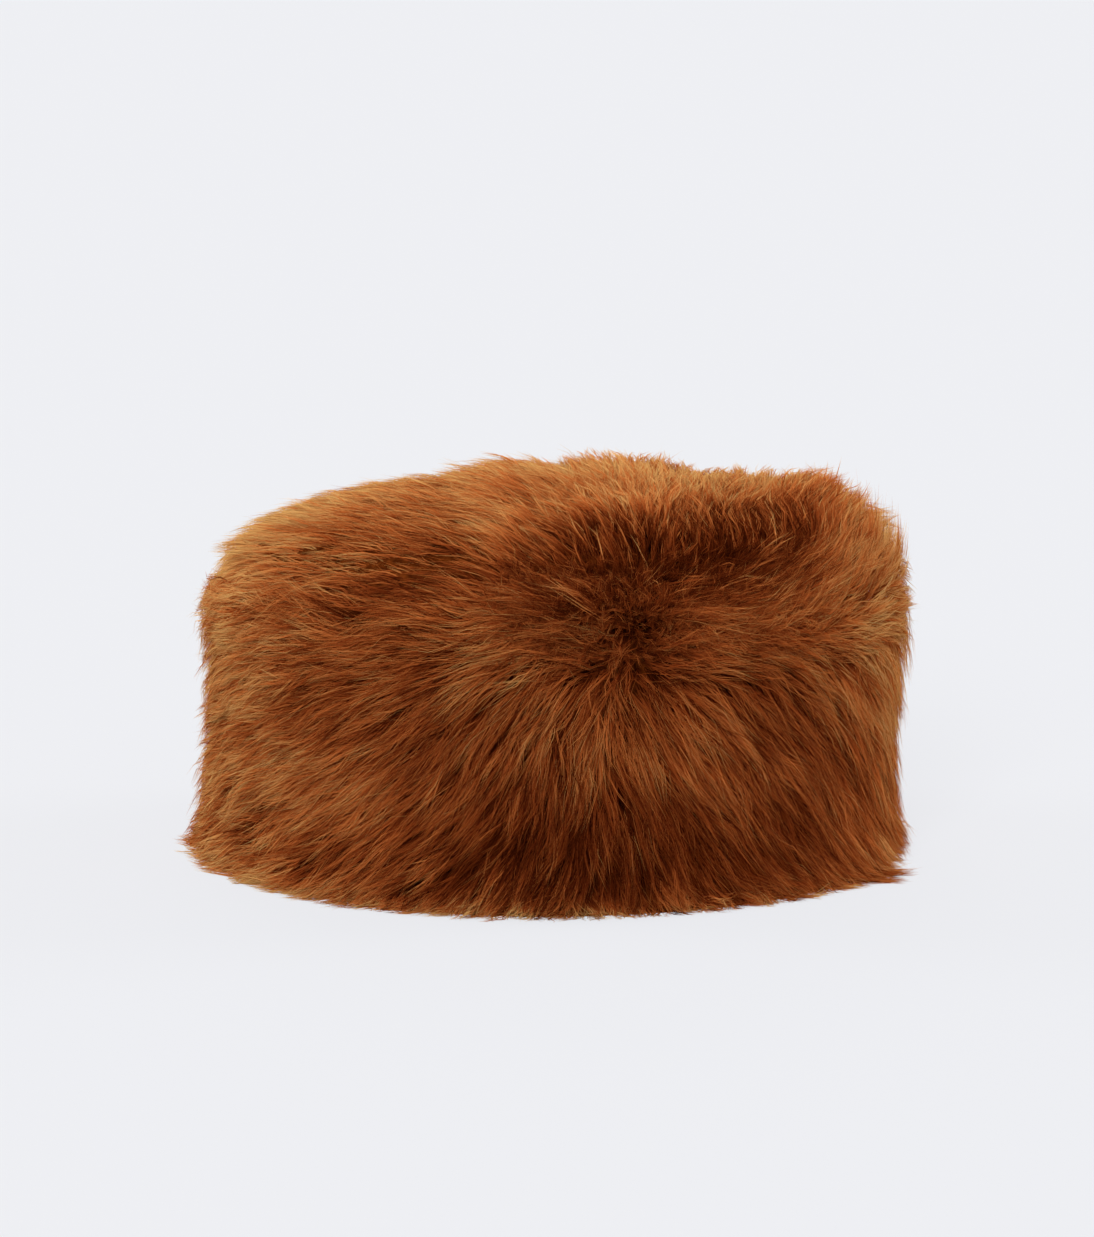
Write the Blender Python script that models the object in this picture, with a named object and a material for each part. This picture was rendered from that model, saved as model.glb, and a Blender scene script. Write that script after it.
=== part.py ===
"""A round shearling pillbox hat, standing on its hem.

Two panels of sheepskin make it: a side band joined into a hoop, and an oval crown
sewn on top. Each panel is a thin hide that carries a deep fleece, so there are four
solids: side_hide, crown_hide, side_fleece and crown_fleece. A fleece is the outer
form of its laid wool. The hat is open below, where the head goes in.

Units are metres. +Z is up, the front (brow) faces -Y, and the origin is on the
surface under the middle of the hat. Angles go round from +X, the wearer's left,
so 270 degrees is the front.
"""

import math

import bmesh
import bpy
from mathutils import Vector

# The head opening, inside the hide: an oval of 58.4 cm round.
OPENING_WIDTH = 0.180
OPENING_DEPTH = 0.192

# The sheepskin: tanned hide, and the depth of the wool that lies on it.
HIDE_THICKNESS = 0.002
SIDE_PILE = 0.029
CROWN_PILE = 0.022

# The crown seam lies this high above the hem, and the crown hide domes above it.
BAND_HEIGHT = 0.096
CROWN_RISE = 0.008

# Neighbouring pieces keep this gap.
FIT_GAP = 0.0003

# The crown's wool hangs this far below the seam where it meets the band's wool.
PARTING_DROP = 0.004
# The two fleeces round off towards their parting over this height.
PARTING_ROUND = 0.012

# Steps round the hat, and over the crown's outer face from the parting to the middle.
STEPS_ROUND = 72
CROWN_RINGS = 13
CROWN_HIDE_RINGS = 4
# Exponent of the dome's fall towards the shoulder: higher is flatter on top.
CROWN_FLATNESS = 1.6

# The band fleece's outer face. Height is a share of the height of the parting,
# depth a share of SIDE_PILE. The wool spreads where it meets the surface.
SIDE_OUTLINE = (
    # height, depth
    (0.00, 1.05),
    (0.03, 1.12),
    (0.08, 1.07),
    (0.16, 0.99),
    (0.30, 0.96),
    (0.45, 0.95),
    (0.60, 0.94),
    (0.74, 0.96),
    (0.86, 1.00),
    (0.94, 1.02),
    (1.00, 1.02),
)

# How the form changes round the hat. Top is the fleece's depth at the parting and
# hem its depth at the hem, as shares of what the outline gives. Shoulder is the
# exponent of the crown's edge, where higher is squarer. Parting is how far the wool
# opens between crown and band, as a share of SIDE_PILE.
SECTIONS = (
    # angle, top, hem, shoulder, parting
    (0, 1.12, 0.97, 8.5, 0.05),
    (45, 1.04, 0.99, 6.5, 0.07),
    (90, 1.00, 0.99, 4.4, 0.08),
    (135, 0.98, 0.99, 3.2, 0.07),
    (180, 0.97, 1.04, 2.5, 0.06),
    (225, 0.98, 0.96, 2.7, 0.05),
    (270, 0.98, 0.99, 3.4, 0.05),
    (315, 1.03, 1.02, 6.0, 0.05),
)
ANGLE, TOP, HEM, SHOULDER, PARTING = range(5)

# Dents in the wool. The hair grows away from a whorl on the front, and on the left of it
# the crown's wool stands up in a roll with a valley under it. The rest are hollows
# between thick locks. Height is a share of the parting's height, which the crown's wool
# carries on past 1, spread_up is another, and depth is a share of SIDE_PILE.
DENTS = (
    # angle, height, spread_round, spread_up, depth
    (281, 0.96, 8, 0.08, 0.18),
    (286, 1.17, 12, 0.06, 0.20),
    (304, 1.18, 13, 0.06, 0.26),
    (322, 1.21, 10, 0.05, 0.14),
    (284, 0.10, 18, 0.10, 0.10),
    (238, 0.55, 10, 0.30, 0.06),
    (318, 0.45, 11, 0.30, 0.06),
    (140, 0.50, 14, 0.30, 0.06),
    (60, 0.45, 14, 0.30, 0.06),
)


def clear_scene():
    for obj in list(bpy.data.objects):
        bpy.data.objects.remove(obj, do_unlink=True)


def wool_or_leather(name, colour, roughness):
    """A matt Principled material in the colour of the piece."""
    material = bpy.data.materials.new(name)
    material.use_nodes = True
    shader = material.node_tree.nodes["Principled BSDF"]
    shader.inputs["Base Color"].default_value = (*colour, 1)
    shader.inputs["Roughness"].default_value = roughness
    shader.inputs["Metallic"].default_value = 0.0
    return material


def oval_point(angle, out):
    """The opening's oval at this angle, moved outwards square to it."""
    half_width, half_depth = OPENING_WIDTH / 2, OPENING_DEPTH / 2
    on_oval = Vector((half_width * math.cos(angle), half_depth * math.sin(angle)))
    square = Vector((half_depth * math.cos(angle), half_width * math.sin(angle)))
    return on_oval + out * square.normalized()


def eased(share):
    """0 to 1 with no slope at either end."""
    return share * share * (3 - 2 * share)


def round_the_hat(angle, column):
    """A column of SECTIONS at this angle, eased from row to row round the hat."""
    degrees = math.degrees(angle) % 360
    rows = SECTIONS + ((SECTIONS[0][ANGLE] + 360, *SECTIONS[0][TOP:]),)
    for low, high in zip(rows, rows[1:]):
        if low[ANGLE] <= degrees <= high[ANGLE]:
            share = (degrees - low[ANGLE]) / (high[ANGLE] - low[ANGLE])
            return low[column] + (high[column] - low[column]) * eased(share)
    raise ValueError(f"no section at {degrees} degrees")


def dent(angle, height):
    """How far the wool's outer face is pressed in, as a share of SIDE_PILE."""
    pressed = 0
    for middle, middle_height, spread_round, spread_up, depth in DENTS:
        aside = (math.degrees(angle) - middle + 180) % 360 - 180
        away = (aside / spread_round) ** 2 + ((height - middle_height) / spread_up) ** 2
        pressed += depth * math.exp(-away)
    return pressed


def parting_height():
    return BAND_HEIGHT - PARTING_DROP


def opened(angle, from_parting):
    """How far the wool rounds in near the parting, where from_parting is a height."""
    share = min(from_parting / PARTING_ROUND, 1)
    return SIDE_PILE * round_the_hat(angle, PARTING) * (1 - eased(share) ** 0.5)


def side_outline(angle):
    """The band fleece's outer face at this angle, from the hem up."""
    points = []
    for height, depth in SIDE_OUTLINE:
        hem, top = round_the_hat(angle, HEM), round_the_hat(angle, TOP)
        depth *= hem + (top - hem) * eased(height)
        out = SIDE_PILE * (depth - dent(angle, height))
        z = parting_height() * height
        out -= opened(angle, parting_height() - z)
        points.append((HIDE_THICKNESS + out, z))
    return points


def crown_top():
    """Height of the crown's wool in the middle."""
    return BAND_HEIGHT + HIDE_THICKNESS + CROWN_RISE + CROWN_PILE


def crown_edge(angle):
    """How far the crown's wool reaches out at its edge, square to the oval."""
    deepest = SIDE_OUTLINE[-1][1] * round_the_hat(angle, TOP)
    return HIDE_THICKNESS + SIDE_PILE * deepest


def crown_outline(angle):
    """The crown fleece's outer face at this angle as (reach, out, z), from the
    parting to the ring next to the middle. The last stretch of the fall is steep,
    so the rings are even in angle and not in reach."""
    bottom = parting_height() + FIT_GAP
    shoulder = round_the_hat(angle, SHOULDER)
    points = []
    for ring in range(CROWN_RINGS):
        turn = math.pi / 2 * ring / CROWN_RINGS
        reach = math.cos(turn) ** (2 / shoulder)
        rise = math.sin(turn) ** (2 / CROWN_FLATNESS)
        z = bottom + (crown_top() - bottom) * rise
        pressed = SIDE_PILE * dent(angle, z / parting_height())
        out = crown_edge(angle) - opened(angle, z - bottom) - pressed
        points.append((reach, out, z))
    return points


def side_hide_section(angle):
    return (
        (0, 0),
        (HIDE_THICKNESS, 0),
        (HIDE_THICKNESS, BAND_HEIGHT),
        (0, BAND_HEIGHT),
    )


def side_fleece_section(angle):
    """From the hem's outer corner up the outer face, in along the parting and down
    the hide."""
    outer = side_outline(angle)
    inner = HIDE_THICKNESS + FIT_GAP
    middle = ((outer[-1][0] + inner) / 2, (outer[-1][1] + BAND_HEIGHT) / 2)
    foot = ((outer[0][0] + inner) / 2, 0)
    return (*outer, middle, (inner, BAND_HEIGHT), (inner, BAND_HEIGHT / 2), (inner, 0), foot)


def crown_hide_height(reach):
    """Underside of the crown hide, where reach is 1 at its edge and 0 in the middle."""
    return BAND_HEIGHT + FIT_GAP + CROWN_RISE * (1 - reach**2)


def crown_hide_section(angle):
    """From next to the middle of the underside, round the edge and back over the top."""
    shares = [ring / CROWN_HIDE_RINGS for ring in range(1, CROWN_HIDE_RINGS + 1)]
    under = [(share, HIDE_THICKNESS, crown_hide_height(share)) for share in shares]
    over = [(reach, out, z + HIDE_THICKNESS) for reach, out, z in reversed(under)]
    return under + over


def crown_fleece_section(angle):
    """From next to the middle of the underside, down round the hide's edge, out along
    the parting and up over the outer face."""
    inner = HIDE_THICKNESS + FIT_GAP
    shares = [ring / CROWN_HIDE_RINGS for ring in range(1, CROWN_HIDE_RINGS + 1)]
    lift = HIDE_THICKNESS + FIT_GAP
    under = [(share, inner, crown_hide_height(share) + lift) for share in shares]
    corner = (1, inner, BAND_HEIGHT + FIT_GAP)
    outer = crown_outline(angle)
    middle_out = (inner + outer[0][1]) / 2
    middle_z = (BAND_HEIGHT + FIT_GAP + outer[0][2]) / 2
    return under + [corner, (1, middle_out, middle_z)] + outer


def finished(name, bm, material, collection):
    """Makes an object of a closed bmesh, faces out and shaded smooth."""
    bmesh.ops.recalc_face_normals(bm, faces=bm.faces)
    mesh = bpy.data.meshes.new(name)
    bm.to_mesh(mesh)
    bm.free()
    mesh.materials.append(material)
    mesh.shade_smooth()
    mesh.set_sharp_from_angle(angle=math.radians(40))
    obj = bpy.data.objects.new(name, mesh)
    collection.objects.link(obj)
    return obj


def angles_round():
    return [2 * math.pi * step / STEPS_ROUND for step in range(STEPS_ROUND)]


def hoop(name, section, material, collection):
    """Lofts a closed section of (out, z) round the opening's oval."""
    bm = bmesh.new()
    rows = []
    for angle in angles_round():
        corners = section(angle)
        rows.append([bm.verts.new((*oval_point(angle, out), z)) for out, z in corners])
    for here, after in zip(rows, rows[1:] + rows[:1]):
        for i in range(len(here)):
            bm.faces.new((here[i - 1], here[i], after[i], after[i - 1]))
    return finished(name, bm, material, collection)


def disc(name, section, under, over, material, collection):
    """Lofts an open section of (reach, out, z) round the oval and closes it at the
    middle of the underside and of the top, which lie at the heights under and over."""
    bm = bmesh.new()
    rows = []
    for angle in angles_round():
        corners = section(angle)
        rows.append(
            [bm.verts.new((*(reach * oval_point(angle, out)), z)) for reach, out, z in corners]
        )
    bottom = bm.verts.new((0, 0, under))
    top = bm.verts.new((0, 0, over))
    for here, after in zip(rows, rows[1:] + rows[:1]):
        bm.faces.new((bottom, here[0], after[0]))
        bm.faces.new((top, after[-1], here[-1]))
        for i in range(1, len(here)):
            bm.faces.new((here[i - 1], here[i], after[i], after[i - 1]))
    return finished(name, bm, material, collection)


def build_hat():
    hat = bpy.data.collections.new("shearling_hat")
    bpy.context.scene.collection.children.link(hat)
    suede = wool_or_leather("suede", (0.22, 0.105, 0.045), 0.9)
    wool = wool_or_leather("wool", (0.30, 0.115, 0.030), 0.7)

    hoop("side_hide", side_hide_section, suede, hat)
    hoop("side_fleece", side_fleece_section, wool, hat)

    hide_middle = crown_hide_height(0)
    hide_top = hide_middle + HIDE_THICKNESS
    disc("crown_hide", crown_hide_section, hide_middle, hide_top, suede, hat)
    disc("crown_fleece", crown_fleece_section, hide_top + FIT_GAP, crown_top(), wool, hat)


clear_scene()
build_hat()
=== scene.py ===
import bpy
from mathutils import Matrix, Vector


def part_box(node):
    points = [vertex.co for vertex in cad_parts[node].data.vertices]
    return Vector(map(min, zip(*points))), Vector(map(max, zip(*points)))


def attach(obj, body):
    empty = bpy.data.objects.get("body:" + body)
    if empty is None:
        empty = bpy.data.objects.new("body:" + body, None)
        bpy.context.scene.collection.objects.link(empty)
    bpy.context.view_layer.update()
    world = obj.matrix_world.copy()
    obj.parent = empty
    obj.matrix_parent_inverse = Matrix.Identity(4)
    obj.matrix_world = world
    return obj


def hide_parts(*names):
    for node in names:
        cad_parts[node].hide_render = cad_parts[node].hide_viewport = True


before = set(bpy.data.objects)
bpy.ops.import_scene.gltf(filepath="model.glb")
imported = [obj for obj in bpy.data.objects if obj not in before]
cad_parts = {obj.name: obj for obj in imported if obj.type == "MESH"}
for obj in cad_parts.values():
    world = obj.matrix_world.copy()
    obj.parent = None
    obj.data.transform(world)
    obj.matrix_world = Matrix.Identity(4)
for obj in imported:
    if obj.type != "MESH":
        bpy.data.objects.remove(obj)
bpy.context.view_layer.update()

import math

import bmesh
import bpy
import numpy as np
from mathutils import Vector, noise
from mathutils.bvhtree import BVHTree


# The studio: a pale seamless floor that runs out past the picture, even soft light from
# the whole room, and four wide soft lamps, in front, behind and at both sides. The camera
# looks a little down on the hat from the front.
IMAGE_HEIGHT = 1237
FOCAL_PIXELS = 4360
CAMERA_DISTANCE = 1.5
CAMERA_ELEVATION = math.radians(8.5)
CAMERA_TARGET = Vector((-0.001, 0.0, 0.078))
PALE_GROUND = (0.860, 0.868, 0.901)
ROOM_STRENGTH = 0.47
FLOOR_SIZE = 120.0
FLOOR_Z = -0.0004
FLOOR_GLOW = 0.856

bpy.context.scene.view_settings.view_transform = "Standard"
bpy.context.scene.view_settings.look = "None"

camera_data = bpy.data.cameras.new("camera")
camera_data.sensor_fit = "VERTICAL"
camera_data.sensor_height = 36.0
camera_data.lens = FOCAL_PIXELS / IMAGE_HEIGHT * camera_data.sensor_height
camera_data.clip_end = 200.0
camera = bpy.data.objects.new("camera", camera_data)
towards_camera = Vector((0, -math.cos(CAMERA_ELEVATION), math.sin(CAMERA_ELEVATION)))
camera.location = CAMERA_TARGET + CAMERA_DISTANCE * towards_camera
camera.rotation_euler = towards_camera.to_track_quat("Z", "Y").to_euler()
bpy.context.scene.collection.objects.link(camera)
bpy.context.scene.camera = camera


def soft_lamp(name, strength, softness, aim):
    """A distant lamp whose light falls along aim, softness degrees wide."""
    lamp_data = bpy.data.lights.new(name, "SUN")
    lamp_data.energy = strength
    lamp_data.angle = math.radians(softness)
    lamp = bpy.data.objects.new(name, lamp_data)
    lamp.rotation_euler = (-Vector(aim)).to_track_quat("Z", "Y").to_euler()
    bpy.context.scene.collection.objects.link(lamp)


soft_lamp("front_lamp", 2.6, 20, (0.20, 0.90, -0.42))
soft_lamp("back_lamp", 1.0, 40, (0.1, -0.9, -0.34))
soft_lamp("left_lamp", 2.6, 30, (0.9, -0.32, -0.14))
soft_lamp("right_lamp", 3.3, 30, (-0.9, -0.32, -0.14))

room = bpy.data.worlds.new("room")
room.use_nodes = True
room_nodes, room_links = room.node_tree.nodes, room.node_tree.links
room_light = room_nodes["Background"]
room_light.inputs["Color"].default_value = (1.0, 0.99, 0.97, 1)
room_light.inputs["Strength"].default_value = ROOM_STRENGTH
seen_ground = room_nodes.new("ShaderNodeBackground")
seen_ground.inputs["Color"].default_value = (*PALE_GROUND, 1)
which_ray = room_nodes.new("ShaderNodeLightPath")
room_mix = room_nodes.new("ShaderNodeMixShader")
room_links.new(which_ray.outputs["Is Camera Ray"], room_mix.inputs["Fac"])
room_links.new(room_light.outputs["Background"], room_mix.inputs[1])
room_links.new(seen_ground.outputs["Background"], room_mix.inputs[2])
room_links.new(room_mix.outputs["Shader"], room_nodes["World Output"].inputs["Surface"])
bpy.context.scene.world = room

floor_paint = bpy.data.materials.new("floor_paint")
floor_paint.use_nodes = True
floor_shader = floor_paint.node_tree.nodes["Principled BSDF"]
floor_shader.inputs["Base Color"].default_value = (0.10, 0.101, 0.105, 1)
floor_shader.inputs["Roughness"].default_value = 1.0
floor_shader.inputs["Specular IOR Level"].default_value = 0.0
floor_shader.inputs["Emission Color"].default_value = (*PALE_GROUND, 1)
floor_ray = floor_paint.node_tree.nodes.new("ShaderNodeLightPath")
floor_glow = floor_paint.node_tree.nodes.new("ShaderNodeMath")
floor_glow.operation = "MULTIPLY"
floor_glow.inputs[1].default_value = FLOOR_GLOW
floor_paint.node_tree.links.new(floor_ray.outputs["Is Camera Ray"], floor_glow.inputs[0])
floor_paint.node_tree.links.new(floor_glow.outputs["Value"], floor_shader.inputs["Emission Strength"])

bm = bmesh.new()
bmesh.ops.create_grid(bm, x_segments=1, y_segments=1, size=FLOOR_SIZE / 2)
bmesh.ops.translate(bm, verts=bm.verts, vec=(0, 0, FLOOR_Z))
floor_mesh = bpy.data.meshes.new("floor")
bm.to_mesh(floor_mesh)
bm.free()
floor_mesh.materials.append(floor_paint)
studio_floor = bpy.data.objects.new("floor", floor_mesh)
bpy.context.scene.collection.objects.link(studio_floor)


# The hides: a hoop and an oval disc of tanned sheepskin, 2 mm thick, with their flesh side
# inwards. Only the inside of the hat shows them. The suede is matt and mottled.
SUEDE_DEEP = (0.105, 0.043, 0.017, 1)
SUEDE_PALE = (0.33, 0.165, 0.075, 1)

suede = bpy.data.materials.new("suede")
suede.use_nodes = True
nodes, links = suede.node_tree.nodes, suede.node_tree.links
shader = nodes["Principled BSDF"]
shader.inputs["Roughness"].default_value = 0.92
shader.inputs["Specular IOR Level"].default_value = 0.2
shader.inputs["Sheen Weight"].default_value = 0.25
place = nodes.new("ShaderNodeTexCoord")
mottle = nodes.new("ShaderNodeTexNoise")
mottle.inputs["Scale"].default_value = 38
mottle.inputs["Detail"].default_value = 6
mottle.inputs["Roughness"].default_value = 0.62
nap = nodes.new("ShaderNodeTexNoise")
nap.inputs["Scale"].default_value = 900
nap.inputs["Detail"].default_value = 3
both = nodes.new("ShaderNodeMath")
both.operation = "MULTIPLY_ADD"
both.inputs[1].default_value = 0.35
tones = nodes.new("ShaderNodeValToRGB")
tones.color_ramp.elements[0].position = 0.35
tones.color_ramp.elements[0].color = SUEDE_DEEP
tones.color_ramp.elements[1].position = 0.95
tones.color_ramp.elements[1].color = SUEDE_PALE
nap_bump = nodes.new("ShaderNodeBump")
nap_bump.inputs["Strength"].default_value = 0.6
nap_bump.inputs["Distance"].default_value = 0.0004
links.new(place.outputs["Object"], mottle.inputs["Vector"])
links.new(place.outputs["Object"], nap.inputs["Vector"])
links.new(nap.outputs["Fac"], both.inputs[0])
links.new(mottle.outputs["Fac"], both.inputs[2])
links.new(both.outputs["Value"], tones.inputs["Fac"])
links.new(tones.outputs["Color"], shader.inputs["Base Color"])
links.new(both.outputs["Value"], nap_bump.inputs["Height"])
links.new(nap_bump.outputs["Normal"], shader.inputs["Normal"])

for name in ("side_hide", "crown_hide"):
    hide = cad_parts[name]
    hide.data.materials.clear()
    hide.data.materials.append(suede)


# The undercoat: the dense dark wool that fills the fleece between the hide and the long hair. It
# follows the fleece's outer form some way below it, and shows only in the depth between locks. Like
# the hair, it is painted lighter on the top and towards the back: painted light from above and
# behind.
UNDERCOAT_SHARE, CROWN_SHARE = 0.52, 0.468
HEM_SHARE, HEM_HEIGHT = 0.88, 0.010
CLEAR_OF_HIDE = 0.001
UNDERCOAT_LUMP = 0.0012
LUMPS_A_METRE = 140
CLEAR_OF_FLOOR = 0.0004
UNDERCOAT_PAINTED_LIGHT = (0.300, 0.088, 0.0180, 1)

undercoat_wool = bpy.data.materials.new("undercoat_wool")
undercoat_wool.use_nodes = True
nodes, links = undercoat_wool.node_tree.nodes, undercoat_wool.node_tree.links
shader = nodes["Principled BSDF"]
shader.inputs["Roughness"].default_value = 0.95
shader.inputs["Specular IOR Level"].default_value = 0.0
place = nodes.new("ShaderNodeTexCoord")
fibres = nodes.new("ShaderNodeTexNoise")
fibres.inputs["Scale"].default_value = 420
fibres.inputs["Detail"].default_value = 5
tones = nodes.new("ShaderNodeValToRGB")
tones.color_ramp.elements[0].position = 0.3
tones.color_ramp.elements[0].color = (0.030, 0.0050, 0.0008, 1)
tones.color_ramp.elements[1].position = 0.75
tones.color_ramp.elements[1].color = (0.150, 0.032, 0.0050, 1)
fibre_bump = nodes.new("ShaderNodeBump")
fibre_bump.inputs["Distance"].default_value = 0.001
links.new(place.outputs["Object"], fibres.inputs["Vector"])
links.new(fibres.outputs["Fac"], tones.inputs["Fac"])
# Painted light: the undercoat is lighter the higher and further back it is, where light from above
# and behind falls.
up_and_back = nodes.new("ShaderNodeVectorMath")
up_and_back.operation = "DOT_PRODUCT"
up_and_back.inputs[1].default_value = (0, 1, 1.5)
how_lit_above = nodes.new("ShaderNodeMapRange")
how_lit_above.inputs["From Min"].default_value = 0.12
how_lit_above.inputs["From Max"].default_value = 0.21
painted_light_mix = nodes.new("ShaderNodeMixRGB")
painted_light_mix.inputs["Color2"].default_value = UNDERCOAT_PAINTED_LIGHT
links.new(place.outputs["Object"], up_and_back.inputs[0])
links.new(up_and_back.outputs["Value"], how_lit_above.inputs["Value"])
links.new(how_lit_above.outputs["Result"], painted_light_mix.inputs["Fac"])
links.new(tones.outputs["Color"], painted_light_mix.inputs["Color1"])
links.new(painted_light_mix.outputs["Color"], shader.inputs["Base Color"])
links.new(fibres.outputs["Fac"], fibre_bump.inputs["Height"])
links.new(fibre_bump.outputs["Normal"], shader.inputs["Normal"])

side_hide_high = Vector(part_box("side_hide")[1])
crown_hide_high = Vector(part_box("crown_hide")[1])


def hide_radius(x, y):
    """How far the outside of the band's hide is from the middle, on the way to (x, y)."""
    far = math.hypot(x, y)
    if far == 0:
        return 0
    along_x, along_y = x / far / side_hide_high.x, y / far / side_hide_high.y
    return 1 / math.hypot(along_x, along_y)


def undercoat(name, node):
    """The node's form, drawn in to a share of its way from the hide, with soft lumps.
    That share is greater by the floor."""
    bm = bmesh.new()
    bm.from_mesh(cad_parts[node].data)
    bmesh.ops.remove_doubles(bm, verts=bm.verts, dist=0.00001)
    bmesh.ops.subdivide_edges(bm, edges=bm.edges, cuts=1, smooth=0.5)
    for vert in bm.verts:
        x, y, z = vert.co
        far, hide = math.hypot(x, y), hide_radius(x, y)
        lump = UNDERCOAT_LUMP * noise.noise(vert.co * LUMPS_A_METRE)
        if far > hide + CLEAR_OF_HIDE:
            near_floor = max(0, 1 - z / HEM_HEIGHT)
            share = UNDERCOAT_SHARE + (HEM_SHARE - UNDERCOAT_SHARE) * near_floor
            drawn_in = (hide + (far - hide) * share + lump) / far
            x, y = x * drawn_in, y * drawn_in
        if z > crown_hide_high.z:
            z = crown_hide_high.z + (z - crown_hide_high.z) * CROWN_SHARE + lump
        vert.co = (x, y, max(z, CLEAR_OF_FLOOR))
    bmesh.ops.recalc_face_normals(bm, faces=bm.faces)
    mesh = bpy.data.meshes.new(name)
    bm.to_mesh(mesh)
    bm.free()
    mesh.shade_smooth()
    mesh.materials.append(undercoat_wool)
    piece = bpy.data.objects.new(name, mesh)
    bpy.context.scene.collection.objects.link(piece)
    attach(piece, "root")
    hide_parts(node)
    return piece


undercoat("band_undercoat", "side_fleece")
undercoat("crown_undercoat", "crown_fleece")


# The long hair of the band: straight wool about 30 mm long, lying in pointed locks. It
# runs away from a whorl high on the front, falls as it goes, and spreads on the surface
# below the hem. Hairs are narrow ribbons that taper to a point, joined into a few meshes.
HAIR_WIDTH = 0.00026
HAIR_LENGTH = 0.029
ROOT_DEPTH = 0.0085
TUFT_SPACING = 0.0033
LOCK_SPACING = 0.0090
HAIRS_PER_TUFT = 15
GUIDE_STEPS = 8

# The net of points over the outer form: its size, and where lines are sent at the form,
# at tilts in degrees over the crown and at heights up the band.
PARTING_Z = 0.092
COLUMNS = 144
CROWN_ROWS, BAND_ROWS = 60, 60
CROWN_TILTS = np.linspace(90, -2.6, 50)
BAND_LEVELS = np.linspace(PARTING_Z - 0.0006, 0.0008, 40)
CROWN_MIDDLE = Vector((0, 0, 0.0985))
BAND_MIDDLE_Z = 0.05
FLOOR_SPREAD = 0.016
WELL_OUTSIDE, IF_MISSED = 0.4, 0.1

random = np.random.default_rng(11)


def form_tree(name):
    """A CAD node's mesh, made ready for meeting lines with it."""
    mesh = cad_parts[name].data
    corners = [vert.co for vert in mesh.vertices]
    return BVHTree.FromPolygons(corners, [face.vertices for face in mesh.polygons])


form_trees = {name: form_tree(name) for name in ("side_fleece", "crown_fleece")}


def form_point(name, aim, outward):
    """Where the fleece's outer face is, met from outside on the line to the point aim."""
    start = aim + outward * WELL_OUTSIDE
    hit = form_trees[name].ray_cast(start, -outward)[0]
    return hit if hit is not None else aim + outward * IF_MISSED


def even_rows(points, count):
    """The same line with count points, evenly spaced along it, and its length."""
    points = np.array(points)
    steps = np.linalg.norm(np.diff(points, axis=0), axis=1)
    along = np.concatenate([[0], np.cumsum(steps)])
    places = np.linspace(0, along[-1], count)
    line = [np.interp(places, along, points[:, axis]) for axis in range(3)]
    return np.stack(line, axis=1), along[-1]


# A column of the net for each angle round the hat. Row 0 is the middle of the crown, then
# come the parting, the hem, and a short way out over the floor.
net, crown_lengths, band_lengths = [], [], []
for column in range(COLUMNS):
    angle = 2 * math.pi * column / COLUMNS
    flat = Vector((math.cos(angle), math.sin(angle), 0))
    crown_line = []
    for tilt in CROWN_TILTS:
        up = Vector((0, 0, math.sin(math.radians(tilt))))
        outward = flat * math.cos(math.radians(tilt)) + up
        crown_line.append(form_point("crown_fleece", CROWN_MIDDLE, outward))
    band_line = []
    for z in BAND_LEVELS:
        band_line.append(form_point("side_fleece", Vector((0, 0, z)), flat))
    crown_line, crown_length = even_rows(crown_line, CROWN_ROWS + 1)
    band_line, band_length = even_rows(band_line, BAND_ROWS + 1)
    spread = band_line[-1] + np.array(flat) * FLOOR_SPREAD
    net.append(np.concatenate([crown_line[:-1], band_line, [spread]]))
    crown_lengths.append(crown_length)
    band_lengths.append(band_length)
net = np.array(net)
CROWN_LENGTH, BAND_LENGTH = float(np.mean(crown_lengths)), float(np.mean(band_lengths))

across = np.roll(net, -1, axis=0) - np.roll(net, 1, axis=0)
down = np.gradient(net, axis=1)
net_normals = np.cross(down, across)
net_normals[:, 0] = (0, 0, 1)
net_normals /= np.linalg.norm(net_normals, axis=2, keepdims=True) + 1e-12
outwards = net - np.array((0, 0, BAND_MIDDLE_Z))
net_normals *= np.sign((net_normals * outwards).sum(axis=2, keepdims=True))
net_normals[:, -2:] = (0, 0, 1)
for _ in range(3):
    net_normals[:, 1:-1] += 0.5 * (net_normals[:, :-2] + net_normals[:, 2:])
    net_normals /= np.linalg.norm(net_normals, axis=2, keepdims=True)


def on_net(table, angle, row):
    """A table of the net, read at an angle in radians and a row that may be a fraction."""
    column = (angle / (2 * math.pi) * COLUMNS) % COLUMNS
    row = np.clip(row, 0, table.shape[1] - 1.001)
    c0 = np.floor(column).astype(int) % COLUMNS
    c1 = (c0 + 1) % COLUMNS
    r0 = np.floor(row).astype(int)
    fc = (column - np.floor(column))[..., None]
    fr = (row - r0)[..., None]
    near = table[c0, r0] * (1 - fc) + table[c1, r0] * fc
    far = table[c0, r0 + 1] * (1 - fc) + table[c1, r0 + 1] * fc
    return near * (1 - fr) + far * fr


def net_row(out):
    """The net's row at a way out from the middle of the crown, in metres over the form."""
    crown = np.minimum(out, CROWN_LENGTH) / CROWN_LENGTH * CROWN_ROWS
    band = np.clip(out - CROWN_LENGTH, 0, BAND_LENGTH) / BAND_LENGTH * BAND_ROWS
    spread = np.clip(out - CROWN_LENGTH - BAND_LENGTH, 0, FLOOR_SPREAD) / FLOOR_SPREAD
    return crown + band + spread


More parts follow.
